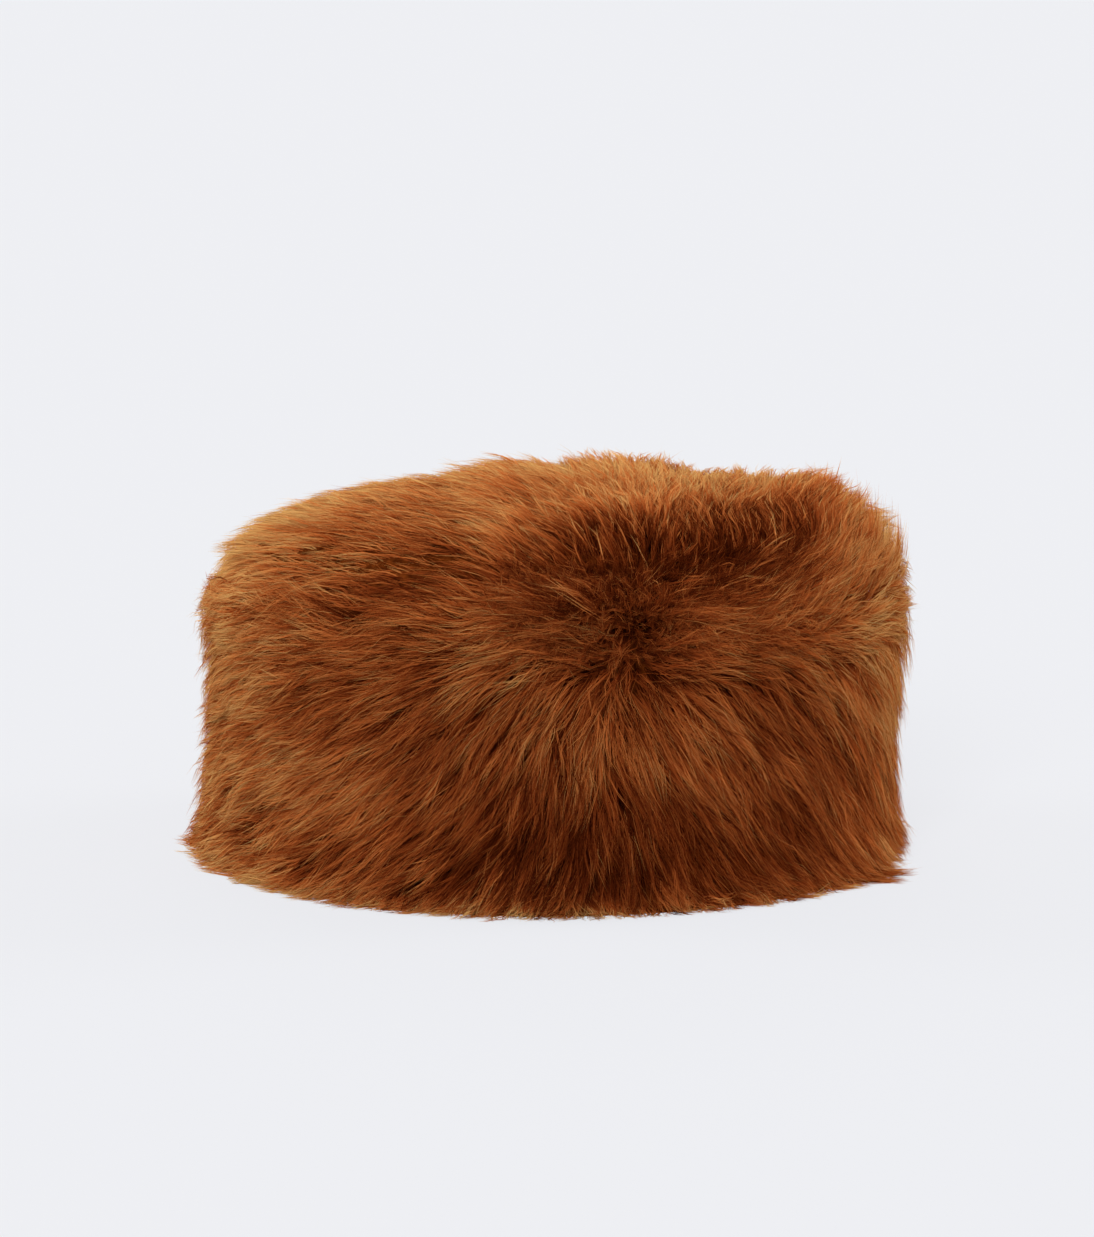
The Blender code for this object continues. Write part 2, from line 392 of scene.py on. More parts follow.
# How the band's hair lies, in degrees: 0 runs round to the wearer's left, -90 straight
# down, 180 round to the wearer's right. A column for each height above the hem, in mm.
COMB_HEIGHTS = (25, 49, 71, 82, 98)
COMB = (
    # angle, at 25, at 49, at 71, at 82, at 98
    (0, -72, -66, -58, -26, 2),
    (45, -82, -80, -74, -66, -52),
    (90, -92, -90, -90, -90, -90),
    (135, -118, -118, -124, -130, -138),
    (180, -148, -153, -158, -166, -172),
    (225, -150, -155, -159, -172, 178),
    (245, -135, -138, -152, -170, 178),
    (258, -126, -122, -142, -166, 176),
    (268, -114, -104, -134, -165, 174),
    (275, -102, -92, -120, -172, 172),
    (281, -86, -80, -86, -110, 150),
    (287, -66, -68, -50, -8, 20),
    (297, -54, -57, -44, -3, 10),
    (312, -60, -55, -46, -4, 20),
    (330, -70, -60, -52, -4, 34),
    (345, -72, -64, -55, -10, 26),
    (360, -72, -66, -58, -26, 2),
)
LEAST_LYING = 0.12
comb = np.array(COMB, dtype=float)


def band_heading(angle, height):
    """The lie of the band's hair as shares round the hat and up it, at an angle in
    radians and a height. They are small at the middle of the whorl, where it stands."""
    degrees = np.degrees(angle) % 360
    millimetres = height * 1000
    ways = []
    for part in (np.cos, np.sin):
        lies = part(np.radians(comb[:, 1:]))
        columns = [np.interp(degrees, comb[:, 0], column) for column in lies.T]
        way = columns[0]
        for i in range(len(columns) - 1):
            low, high = COMB_HEIGHTS[i], COMB_HEIGHTS[i + 1]
            share = np.clip((millimetres - low) / (high - low), 0, 1)
            way = way + (columns[i + 1] - columns[i]) * share
        ways.append(way)
    size = np.hypot(*ways)
    lying = np.sqrt(np.clip(size, LEAST_LYING, 1)) / (size + 1e-6)
    return ways[0] * lying, ways[1] * lying


NOISE_SHIFT = (7.3, 3.1, 5.7)


def soft_noise(points, size, seed):
    """Smooth noise of about -1 to 1 at each point, with lumps of that size. Each seed
    gives other lumps."""
    shift = Vector([seed * apart for apart in NOISE_SHIFT])
    return np.array([noise.noise(Vector(p) / size + shift) for p in points])


# How far over the crown's edge the band's lie of hair goes, up to the valley over the brow.
BAND_OVER = (
    # angle in degrees, way over the edge in metres
    (15, 0.002),
    (200, 0.003),
    (245, 0.010),
    (262, 0.014),
    (275, 0.018),
    (290, 0.019),
    (305, 0.022),
    (320, 0.025),
    (335, 0.018),
    (350, 0.006),
)
WIDEST_OVER = max(over for _, over in BAND_OVER)


def band_over(angle):
    """How far over the crown's edge the band's lie of hair goes, at these angles."""
    angles, overs = zip(*BAND_OVER)
    return np.interp(np.degrees(angle), angles, overs, period=360)


# Roots stray from even rows by up to SCATTER of their spacing, and the last ones stand at
# LAST_ROOT of the way down the band.
MEAN_RADIUS = 0.126
SCATTER = 0.45
LAST_ROOT = 0.995


def scattered_band(spacing):
    """Places on the band, evenly scattered: angle and way out, as two arrays."""
    places = []
    rows = int((BAND_LENGTH + WIDEST_OVER) / spacing)
    for row in range(rows):
        down = (BAND_LENGTH + WIDEST_OVER) * (row + 0.5) / rows
        out = CROWN_LENGTH - WIDEST_OVER + down
        count = int(2 * math.pi * MEAN_RADIUS / spacing)
        for step in range(count):
            places.append(((step + 0.5 * (row % 2)) / count * 2 * math.pi, out))
    places = np.array(places)
    places[:, 0] += random.uniform(-SCATTER, SCATTER, len(places)) * spacing / MEAN_RADIUS
    places[:, 1] += random.uniform(-SCATTER, SCATTER, len(places)) * spacing
    places = places[places[:, 1] > CROWN_LENGTH - band_over(places[:, 0])]
    return places[:, 0], np.minimum(places[:, 1], CROWN_LENGTH + BAND_LENGTH * LAST_ROOT)


RISE = 2.2


def lift_profile(share, tip_depth):
    """Depth under the outer form along a hair: steep at the root, then flat."""
    rise = 1 - (1 - share) ** RISE
    return ROOT_DEPTH + (tip_depth - ROOT_DEPTH) * rise


def laid(angle, out, share, tip_depth):
    """The outer form's points at these places, its normals there, and the points under
    them where hair passes at this share of its length."""
    row = net_row(out)
    point = on_net(net, angle, row)
    normal = on_net(net_normals, angle, row)
    normal /= np.linalg.norm(normal, axis=-1, keepdims=True)
    depth = lift_profile(share, tip_depth)
    return point, normal, point - normal * depth[:, None]


# A guide's steps as shares of their mean: short at the root and longer towards the tip.
FIRST_STEP, STEPS_GROW = 0.55, 0.9


def stride(length, share):
    """How far a guide goes on from this share of its length."""
    return length / GUIDE_STEPS * (FIRST_STEP + STEPS_GROW * share)


# How far the hair reaches over the surface beyond the hem, and the locks that lie out
# further. Hair that falls less steeply than LEAST_FALL is cut as if it fell that steeply.
HEM_REACH = (0.0005, 0.0045)
SHORTEST_HAIR = 0.007
LEAST_FALL = 0.3
HEM_LOCKS = (
    # angle, half-width in degrees, how much further these locks reach in metres
    (329, 7, 0.014),
    (191, 6, 0.002),
    (306, 3, 0.003),
)
# How hair leaves the common lie: a turn up to CALM_TURN radians lasts, a stronger one
# springs out and is then spent, and all of it wavers.
CALM_TURN = 0.3
SPRING = 1.2
MOST_SPENT = 0.9
WAVER = 0.24
WAVER_SIZE = 0.015


def band_guides(angle, out, length, tip_depth, turn):
    """Lines of GUIDE_STEPS + 1 points in space that hair follows from these places. Each
    is turned from the lie of the hair by the angle turn, keeps some of the way that it
    starts with, and wavers with its neighbours."""
    lines, normals = [], []
    to_hem = CROWN_LENGTH + BAND_LENGTH - out
    for step in range(GUIDE_STEPS + 1):
        share = step / GUIDE_STEPS
        point, normal, under = laid(angle, out, share, tip_depth)
        lines.append(under)
        normals.append(normal)
        way_round, way_up = band_heading(angle, np.maximum(point[:, 2], 0))
        if step == 0:
            slope = np.maximum(-way_up, LEAST_FALL)
            reach = random.uniform(*HEM_REACH, len(out))
            for lock, half_width, longer in HEM_LOCKS:
                reach += longer * np.exp(-(((np.degrees(angle) - lock) / half_width) ** 2))
            to_floor = (to_hem + reach) / slope
            length = np.minimum(length, np.maximum(to_floor, SHORTEST_HAIR))
            wild = np.clip(np.abs(turn) - CALM_TURN, 0, 1) * SPRING
            start_round = (way_round * np.cos(turn) - way_up * np.sin(turn)) * wild
            start_up = (way_round * np.sin(turn) + way_up * np.cos(turn)) * wild
            turn = turn * (1 - np.clip(wild, 0, MOST_SPENT))
        here = turn + WAVER * soft_noise(point, WAVER_SIZE, seed=4)
        turned_round = way_round * np.cos(here) - way_up * np.sin(here) + start_round
        turned_up = way_round * np.sin(here) + way_up * np.cos(here) + start_up
        turned_round, turned_up = turned_round / (1 + wild), turned_up / (1 + wild)
        radius = np.hypot(point[:, 0], point[:, 1])
        angle = angle + turned_round * stride(length, share) / radius
        out = out - turned_up * stride(length, share)
    return np.stack(lines, axis=1), np.stack(normals, axis=1)


# How late along their way lines draw together, and how many are measured at a time.
GATHER_POWER = 1.5
AT_A_TIME = 500


def gathered(lines, lock_lines, pull):
    """Lines drawn towards the line of the nearest lock, more towards the tip. Returns
    them, the number of each one's lock, and how far out in its lock each one is, as a
    share of the space between locks."""
    roots, lock_roots = lines[:, 0], lock_lines[:, 0]
    nearest = np.empty(len(roots), dtype=int)
    for start in range(0, len(roots), AT_A_TIME):
        gaps = roots[start:start + AT_A_TIME, None] - lock_roots[None]
        nearest[start:start + AT_A_TIME] = (gaps**2).sum(axis=2).argmin(axis=1)
    share = np.linspace(0, 1, lines.shape[1])[None, :, None]
    pull = np.broadcast_to(pull, len(lines))[:, None, None]
    aside = np.linalg.norm(roots - lock_roots[nearest], axis=1) / LOCK_SPACING
    return lines + (lock_lines[nearest] - lines) * pull * share**GATHER_POWER, nearest, aside


# How far the tips at a lock's edge lie under those at its middle, in metres.
LOCK_CREASE = 0.0036


def creased(lines, normals, aside):
    """Lines lowered towards the edges of their locks, more towards the tip."""
    share = np.linspace(0, 1, lines.shape[1])[None, :, None]
    return lines - normals * share * (LOCK_CREASE * aside**2)[:, None, None]


# Between these radii, what the tables of places add fades out towards the middle.
NEAR_MIDDLE = (0.045, 0.085)


def by_place(table, points):
    """The sum at each point of what the rows of a table of places add there."""
    angles = np.degrees(np.arctan2(points[..., 1], points[..., 0]))
    radius = np.hypot(points[..., 0], points[..., 1])
    added = np.zeros(points.shape[:-1])
    for angle, height, spread_round, spread_up, amount in table:
        aside = (angles - angle + 180) % 360 - 180
        away = (aside / spread_round) ** 2 + ((points[..., 2] - height) / spread_up) ** 2
        added += amount * np.exp(-away)
    low, high = NEAR_MIDDLE
    return added * np.clip((radius - low) / (high - low), 0, 1)


# Painted light on the top of the hat, most at the back, where light from above and behind falls: the
# tone that it adds, and the heights and the ways back from the front over which it grows.
PAINTED_TOP_LIGHT = 0.17
PAINTED_BACK_LIGHT = 0.22
PAINTED_LIGHT_HEIGHTS = (0.062, 0.122)
PAINTED_LIGHT_WAY = (-0.075, 0.02)


def painted_top_light(points):
    """The tone that the painted light on the top and back adds at each point."""
    low, high = PAINTED_LIGHT_HEIGHTS
    up = np.clip((points[..., 2] - low) / (high - low), 0, 1)
    low, high = PAINTED_LIGHT_WAY
    back = np.clip((points[..., 1] - low) / (high - low), 0, 1)
    return up * (PAINTED_TOP_LIGHT + PAINTED_BACK_LIGHT * back)


# Where hair is stiff and leaves the form instead of following it, as a share.
STIFF = (
    # angle, height, spread_round, spread_up, share; angles in degrees, heights in metres
    (345, 0.110, 24, 0.016, 0.75),
    (192, 0.108, 22, 0.014, 0.55),
)
LEAST_STIFF = 0.15

# Where locks draw together into separate tufts, as a share, and how far those stand out.
TUFTED = (
    # angle, height, spread_round, spread_up, share; angles in degrees, heights in metres
    (345, 0.110, 28, 0.020, 0.32),
    (192, 0.104, 24, 0.018, 0.26),
)
TUFT_PROUD = 0.015

# Where the hair lies deeper than the outer form, in metres.
SUNK = (
    # angle, height, spread_round, spread_up, depth; angles in degrees, heights in metres
    (194, 0.0965, 16, 0.0040, 0.0042),
    (344, 0.0800, 10, 0.0080, 0.0016),
)


def proud(lines, normals):
    """The lines of locks, raised where locks stand as tufts, more towards the tip."""
    share = np.linspace(0, 1, lines.shape[1])[None, :, None]
    rise = by_place(TUFTED, lines[:, 0]) * random.uniform(0, TUFT_PROUD, len(lines))
    return lines + normals * share * rise[:, None, None]


def sunk(lines, normals):
    """The lines, lowered where the hair lies deeper than the outer form."""
    return lines - normals * by_place(SUNK, lines)[..., None]


def sprung(lines):
    """Lines of which the outer half is drawn towards a straight run."""
    middle = lines.shape[1] // 2
    ahead = lines[:, middle + 1] - lines[:, middle - 1]
    ahead /= np.linalg.norm(ahead, axis=1, keepdims=True)
    steps = np.linalg.norm(np.diff(lines[:, middle:], axis=1), axis=2)
    along = np.cumsum(steps, axis=1)[..., None]
    stiff = LEAST_STIFF + by_place(STIFF, lines[:, middle])[:, None, None]
    straight = lines[:, middle:middle + 1] + ahead[:, None] * along
    lines[:, middle + 1:] += (straight - lines[:, middle + 1:]) * stiff
    return lines


# A hair's stops as shares of its length, and its width at all but the last as shares of
# the full width. TONE_HALF_WIDTH is its half-width in the map.
HAIR_STOPS = (0.0, 0.36, 0.70, 1.0)
HAIR_TAPER = (0.80, 0.9815, 0.745)
TONE_HALF_WIDTH = 0.003
MAP_EDGE = 0.02
LEAST_TONE, MOST_TONE = 0.01, 0.99

# Painted light and shade, by tone: painted shade in the whorl, the valley over the brow, the parting
# beside it, on the roll's face and low on the front; painted light over the hem, in patches low on
# the front and on both sides.
PAINTED_LIGHT_AND_SHADE = (
    # angle, height, spread_round, spread_up, tone; angles in degrees, heights in metres
    # painted light over the hem, and painted light and shade on the front of the band
    (250, 0.000, 60, 0.0045, 0.36),
    (252, 0.032, 16, 0.014, 0.22),
    (303, 0.040, 8, 0.010, 0.10),
    (265, 0.018, 22, 0.022, -0.30),
    (292, 0.012, 20, 0.018, -0.16),
    (262, 0.054, 22, 0.012, 0.08),
    # painted shade in the whorl, the valley over the brow and the parting beside it, with a strip of
    # painted light above
    (282, 0.090, 9, 0.007, -0.26),
    (276, 0.1025, 7, 0.0028, -0.30),
    (246, 0.1035, 10, 0.0045, -0.38),
    (231, 0.0985, 12, 0.0045, -0.28),
    (222, 0.0920, 10, 0.006, -0.10),
    (228, 0.1145, 20, 0.0045, -0.18),
    (250, 0.1115, 8, 0.004, -0.22),
    (240, 0.1235, 22, 0.0035, 0.14),
    (280, 0.1105, 7, 0.004, -0.36),
    (298, 0.1030, 16, 0.0045, -0.38),
    (274, 0.0985, 14, 0.0045, -0.20),
    (294, 0.1110, 11, 0.0045, -0.30),
    # painted shade on the roll and its dark face
    (288, 0.117, 14, 0.006, -0.36),
    (304, 0.1115, 9, 0.005, -0.28),
    (311, 0.115, 9, 0.005, -0.22),
    (303, 0.119, 22, 0.007, -0.26),
    (318, 0.121, 15, 0.009, -0.24),
    (329, 0.126, 14, 0.009, -0.28),
    (350, 0.1265, 20, 0.006, -0.32),
    (267, 0.110, 9, 0.007, -0.34),
    (280, 0.1250, 12, 0.006, -0.34),
    (318, 0.1075, 8, 0.005, -0.22),
    # painted light on both sides
    (338, 0.078, 14, 0.012, 0.14),
    (183, 0.060, 36, 0.070, 0.34),
    (205, 0.105, 30, 0.013, 0.12),
    (354, 0.060, 30, 0.070, 0.32),
)


# How hair varies in a tuft. The hairs of a wisp stray together, and each strays a little
# from its wisp. Splay is a turn of the tip aside, bow and wave are curves, and lift raises
# the tip. The tips of tufts and wisps draw together.
WISP_HAIRS = 3
WISP_WIDTH, WISP_CLOSES = 0.00034, 0.75
TUFT_SPREAD, TUFT_CLOSES, CLOSING_POWER = TUFT_SPACING * 0.5, 0.4, 1.1
HAIR_REACH = (0.72, 1.0)
SPLAY, OWN_SPLAY = 0.0016, 0.0004
LIFT, OWN_LIFT = 0.0010, 0.0003
BOW, OWN_BOW = 0.0010, 0.0003
WAVE, OWN_WAVE = 0.0007, 0.0002
LEAST_REST, REST_SPREAD = 0.0002, 0.0009
HAIR_ROLL = 1.1
HAIR_WIDTHS = (0.7, 1.15)
TONE_SPREAD, OWN_TONE, TONE_LIMIT = 0.22, 0.07, 0.13
SHADE_SPREAD = 0.55
# Stray hairs: how many there are, and how they differ from the rest.
STRAYS = 0.07
STRAY_SPLAY, STRAY_LIFT, STRAY_WIDTH, STRAY_TONE = 2.0, 0.0018, 0.5, 0.24


def hairs(lines, normals, tones, per_tuft, hair_width, tone_spread, curl):
    """Hair round each guide line, in wisps, with a point at each of HAIR_STOPS. Turns
    and curves are multiplied by curl. Returns the points, half-width vectors at all but
    the tip, and the tone at each point."""
    stops = np.array(HAIR_STOPS)
    tuft = np.repeat(np.arange(len(lines)), per_tuft)
    count = len(tuft)

    def by_wisp(spread):
        """Random amounts that the hairs of a wisp have in common."""
        return np.repeat(random.normal(0, spread, count // WISP_HAIRS), WISP_HAIRS)

    def varied(spread, own):
        """Random amounts that the hairs of a wisp have in common, and each one's own."""
        return by_wisp(spread) + random.normal(0, own, count)

    reach = random.uniform(*HAIR_REACH, count)
    stray = random.random(count) < STRAYS
    places = stops[None] * reach[:, None] * GUIDE_STEPS
    low = np.minimum(np.floor(places).astype(int), GUIDE_STEPS - 1)
    part = (places - low)[..., None]
    rows = tuft[:, None]
    centre = lines[rows, low] * (1 - part) + lines[rows, low + 1] * part
    up = normals[rows, low]

    ahead = lines[tuft, -1] - lines[tuft, 0]
    ahead /= np.linalg.norm(ahead, axis=1, keepdims=True)
    side = np.cross(ahead, up[:, 2])
    side /= np.linalg.norm(side, axis=1, keepdims=True)
    along_offset = by_wisp(TUFT_SPREAD)[:, None] * ahead
    side_offset = by_wisp(TUFT_SPREAD)[:, None] * side
    closing = 1 - TUFT_CLOSES * stops[None] ** CLOSING_POWER
    points = centre + (along_offset + side_offset)[:, None] * closing[..., None]
    in_wisp = random.normal(0, WISP_WIDTH, count)[:, None] * side
    points = points + in_wisp[:, None] * (1 - WISP_CLOSES * stops)[None, :, None]

    splay = varied(SPLAY, OWN_SPLAY) * np.where(stray, STRAY_SPLAY, 1) * curl
    lift = varied(LIFT, OWN_LIFT) + np.where(stray, STRAY_LIFT, 0)
    bow = varied(BOW, OWN_BOW) * curl
    wave = varied(WAVE, OWN_WAVE) * curl
    bend = (stops**2)[None, :, None]
    arch = (np.sin(stops * math.pi))[None, :, None]
    ripple = (np.sin(stops * 2 * math.pi))[None, :, None]
    sideways = splay[:, None, None] * bend + bow[:, None, None] * arch
    points = points + side[:, None] * (sideways + wave[:, None, None] * ripple)
    points = points + up[:, 2][:, None] * lift[:, None, None] * bend
    resting = LEAST_REST + REST_SPREAD * random.random(count)[:, None]
    points[..., 2] = np.maximum(points[..., 2], resting)

    run = np.gradient(points, axis=1)
    run /= np.linalg.norm(run, axis=2, keepdims=True) + 1e-12
    flat = np.cross(run, up)
    flat /= np.linalg.norm(flat, axis=2, keepdims=True) + 1e-12
    edge = np.cross(flat, run)
    roll = random.uniform(-HAIR_ROLL, HAIR_ROLL, count)[:, None, None]
    width = hair_width * random.uniform(*HAIR_WIDTHS, count) * np.where(stray, STRAY_WIDTH, 1)
    taper = np.array(HAIR_TAPER)[None, :, None]
    half = (flat * np.cos(roll) + edge * np.sin(roll))[:, :-1]
    half = half * (width / 2)[:, None, None] * taper

    own = np.minimum(varied(tone_spread, OWN_TONE), TONE_LIMIT)
    tone = (tones[tuft] + own + np.where(stray, STRAY_TONE, 0))[:, None]
    # Painted light and shade by place, uneven from wisp to wisp where it darkens, and painted light
    # on the top and back.
    shade = by_place(PAINTED_LIGHT_AND_SHADE, points)
    uneven = np.clip(1 + by_wisp(SHADE_SPREAD), 0, 2)[:, None]
    tone = tone + shade * np.where(shade < 0, uneven, 1) + painted_top_light(points)
    return points, half, np.clip(tone, LEAST_TONE, MOST_TONE)


def hair_mesh(name, points, half, tone):
    """One mesh of all these hairs: four-cornered faces, and a pointed one at the tip.
    Its UV map runs along the hair in U and holds the tone there in V."""
    count, last = len(points), len(HAIR_STOPS) - 1
    each = 2 * last + 1
    verts = np.empty((count, each, 3), dtype=np.float32)
    verts[:, 0:-1:2] = points[:, :-1] - half
    verts[:, 1:-1:2] = points[:, :-1] + half
    verts[:, -1] = points[:, -1]
    corners, starts = [], []
    for row in range(0, each - 3, 2):
        starts.append(len(corners))
        corners += [row, row + 1, row + 3, row + 2]
    starts.append(len(corners))
    corners += [each - 3, each - 2, each - 1]
    corners, starts = np.array(corners), np.array(starts)
    hair = np.arange(count)[:, None]
    mesh = bpy.data.meshes.new(name)
    mesh.vertices.add(count * each)
    mesh.vertices.foreach_set("co", verts.ravel())
    mesh.loops.add(count * len(corners))
    mesh.loops.foreach_set("vertex_index", (hair * each + corners).ravel().astype(np.int32))
    mesh.polygons.add(count * len(starts))
    loop_starts = (hair * len(corners) + starts).ravel().astype(np.int32)
    mesh.polygons.foreach_set("loop_start", loop_starts)
    mesh.update(calc_edges=True)

    stop_of = np.append(np.repeat(np.arange(last), 2), last)
    along = MAP_EDGE + (1 - 2 * MAP_EDGE) * np.array(HAIR_STOPS)[stop_of]
    sway = np.append(np.tile((-1, 1), last), 0) * TONE_HALF_WIDTH
    uv = np.empty((count, len(corners), 2), dtype=np.float32)
    uv[:, :, 0] = along[corners][None]
    uv[:, :, 1] = (tone[:, stop_of] + sway)[:, corners]
    mesh.uv_layers.new(name="OFBake").data.foreach_set("uv", uv.ravel())
    mesh.shade_smooth()
    mesh.materials.append(hair_wool)
    piece = bpy.data.objects.new(name, mesh)
    bpy.context.scene.collection.objects.link(piece)
    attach(piece, "root")
    return piece


hair_wool = bpy.data.materials.new("hair_wool")
hair_wool.use_nodes = True
nodes, links = hair_wool.node_tree.nodes, hair_wool.node_tree.links
shader = nodes["Principled BSDF"]
shader.inputs["Roughness"].default_value = 0.42
shader.inputs["Specular IOR Level"].default_value = 0.0
through = nodes.new("ShaderNodeBsdfTranslucent")
lit = nodes.new("ShaderNodeMixShader")
lit.inputs["Fac"].default_value = 0.36
links.new(shader.outputs["BSDF"], lit.inputs[1])
links.new(through.outputs["BSDF"], lit.inputs[2])
links.new(lit.outputs["Shader"], nodes["Material Output"].inputs["Surface"])
hair_map = nodes.new("ShaderNodeUVMap")
hair_map.uv_map = "OFBake"
split = nodes.new("ShaderNodeSeparateXYZ")
along_hair = nodes.new("ShaderNodeMath")
along_hair.operation = "MULTIPLY_ADD"
along_hair.inputs[1].default_value = 0.40
along_hair.inputs[2].default_value = -0.12
tone_and_tip = nodes.new("ShaderNodeMath")
tone_and_tip.operation = "MULTIPLY_ADD"
tone_and_tip.inputs[1].default_value = 0.74
dyes = nodes.new("ShaderNodeValToRGB")
ramp = dyes.color_ramp
ramp.elements[0].position = 0.0
ramp.elements[0].color = (0.020, 0.0035, 0.0006, 1)
ramp.elements[1].position = 1.0
ramp.elements[1].color = (0.79, 0.52, 0.19, 1)
for position, colour in (
    (0.22, (0.115, 0.018, 0.0035, 1)),
    (0.42, (0.330, 0.068, 0.0140, 1)),
    (0.62, (0.580, 0.168, 0.0400, 1)),
    (0.80, (0.675, 0.335, 0.1040, 1)),
):
    ramp.elements.new(position).color = colour
links.new(hair_map.outputs["UV"], split.inputs["Vector"])
links.new(split.outputs["X"], along_hair.inputs[0])
links.new(split.outputs["Y"], tone_and_tip.inputs[0])
links.new(along_hair.outputs["Value"], tone_and_tip.inputs[2])
links.new(tone_and_tip.outputs["Value"], dyes.inputs["Fac"])
links.new(dyes.outputs["Color"], shader.inputs["Base Color"])
links.new(dyes.outputs["Color"], through.inputs["Color"])

# Where the hair is untidy: the middle of the whorl, how far hair turns there and
# elsewhere in radians, and over what way.
WHORL_ANGLE = math.radians(281)
WHORL_POINT = np.array((0.0245, -0.1240, 0.0880))
PLAIN_TURN = 0.17
WHORL_TURN, WHORL_SIZE = 0.75, 0.013
VALLEY_TURN, VALLEY_WIDTH = 0.25, 0.010


def unruly(angle, out):
    """How far hair turns from the common lie at these places on the band, in radians:
    most near the whorl and along the valley over the brow."""
    points = on_net(net, angle, net_row(out))
    to_whorl = np.linalg.norm(points - WHORL_POINT, axis=1)
    over = np.clip((CROWN_LENGTH - out) / VALLEY_WIDTH, 0, 1)
    at_whorl = np.exp(-((to_whorl / WHORL_SIZE) ** 2))
    return PLAIN_TURN + WHORL_TURN * at_whorl + VALLEY_TURN * over


# Lengths are shares of HAIR_LENGTH, and depths are how far tips lie under the outer form.
# Near the hem, locks draw together more and have deeper creases between them.
LOCK_LENGTHS, LOCK_DEPTHS = (0.85, 1.25), (-0.0026, 0.0030)
TUFT_LENGTHS, TUFT_DEPTHS = (0.75, 1.15), (-0.0016, 0.0044)
PULL, HEM_PULL = 0.48, 0.30
HEM_ZONE = 0.040
HEM_CREASE = 0.3

lock_angle, lock_out = scattered_band(LOCK_SPACING)
lock_count = len(lock_angle)
lock_lines, lock_normals = band_guides(
    lock_angle,
    lock_out,
    HAIR_LENGTH * random.uniform(*LOCK_LENGTHS, lock_count),
    random.uniform(*LOCK_DEPTHS, lock_count),
    random.normal(0, 1, lock_count) * unruly(lock_angle, lock_out),
)
lock_lines = proud(lock_lines, lock_normals)
tuft_angle, tuft_out = scattered_band(TUFT_SPACING)
tuft_count = len(tuft_angle)
tuft_lines, tuft_normals = band_guides(
    tuft_angle,
    tuft_out,
    HAIR_LENGTH * random.uniform(*TUFT_LENGTHS, tuft_count),
    random.uniform(*TUFT_DEPTHS, tuft_count),
    random.normal(0, 1, tuft_count) * unruly(tuft_angle, tuft_out),
)
near_hem = np.clip(1 - tuft_lines[:, 0, 2] / HEM_ZONE, 0, 1)
pull = PULL + HEM_PULL * near_hem + by_place(TUFTED, tuft_lines[:, 0])
tuft_lines, tuft_lock, aside = gathered(tuft_lines, lock_lines, pull)
tuft_lines = creased(tuft_lines, tuft_normals, aside * (1 + HEM_CREASE * near_hem))
tuft_lines = sunk(sprung(tuft_lines), tuft_normals)

# The tone of each tuft: painted shade at the edges of its lock, where locks part, more near the hem;
# cloudy from place to place; and painted light on the hairs rooted by the floor.
BAND_TONE = 0.46
LOCK_TONE_SPREAD, TUFT_TONE_SPREAD = 0.08, 0.05
LOCK_EDGE_SHADE = -0.30
CLOUD_TONE, CLOUD_SIZE = 0.16, 0.05
HEM_PAINTED_LIGHT, HEM_LIGHT_ZONE = 0.30, 0.005

lock_tone = random.normal(0, LOCK_TONE_SPREAD, lock_count)
roots = tuft_lines[:, 0]
band_tone = BAND_TONE + random.normal(0, TUFT_TONE_SPREAD, tuft_count)
band_tone += (lock_tone[tuft_lock] + LOCK_EDGE_SHADE * aside**2) * (1 + near_hem)
band_tone += CLOUD_TONE * soft_noise(roots, CLOUD_SIZE, seed=1)
# Painted light on the hairs rooted by the floor, as if lit from the floor.
band_tone += HEM_PAINTED_LIGHT * np.clip(1 - roots[:, 2] / HEM_LIGHT_ZONE, 0, 1)

points, half, tone = hairs(
    tuft_lines,
    tuft_normals,
    band_tone,
    HAIRS_PER_TUFT,
    HAIR_WIDTH,
    TONE_SPREAD,
    curl=1,
)
where = np.degrees(np.arctan2(points[:, 0, 1], points[:, 0, 0])) % 360
for name, start in (("front", 225), ("left", 315), ("back", 45), ("right", 135)):
    chosen = (where - start) % 360 < 90
    hair_mesh(f"band_wool_{name}", points[chosen], half[chosen], tone[chosen])


# The down over the brow: short crimped wool that stands every way round the whorl and in
# the valley above it, where the long hair parts and would leave the hide thinly covered.
DOWN_TUFTS = 2300
DOWN_PER_TUFT = 9
DOWN_LENGTH = 0.012
DOWN_LENGTHS, DOWN_DEPTHS = (0.6, 1.2), (0.0005, 0.0050)
DOWN_WIDTH = 0.00022
DOWN_TONE = 0.36
DOWN_TONE_SPREAD, DOWN_TUFT_SPREAD = 0.08, 0.06
DOWN_CURL = 0.7
# Where it grows: angles in degrees, and ways above and below the parting in metres.
DOWN_ANGLES = (262, 322)
DOWN_ABOVE, DOWN_BELOW = 0.027, 0.007

down_angle = np.radians(random.uniform(*DOWN_ANGLES, DOWN_TUFTS))
down_out = CROWN_LENGTH + random.uniform(-DOWN_ABOVE, DOWN_BELOW, DOWN_TUFTS)
down_lines, down_normals = band_guides(
    down_angle,
    down_out,
    DOWN_LENGTH * random.uniform(*DOWN_LENGTHS, DOWN_TUFTS),
    random.uniform(*DOWN_DEPTHS, DOWN_TUFTS),
    random.uniform(-math.pi, math.pi, DOWN_TUFTS),
)
down_tone = DOWN_TONE + random.normal(0, DOWN_TUFT_SPREAD, DOWN_TUFTS)
points, half, tone = hairs(
    down_lines,
    down_normals,
    down_tone,
    DOWN_PER_TUFT,
    DOWN_WIDTH,
    DOWN_TONE_SPREAD,
    DOWN_CURL,
)
hair_mesh("brow_down", points, half, tone)


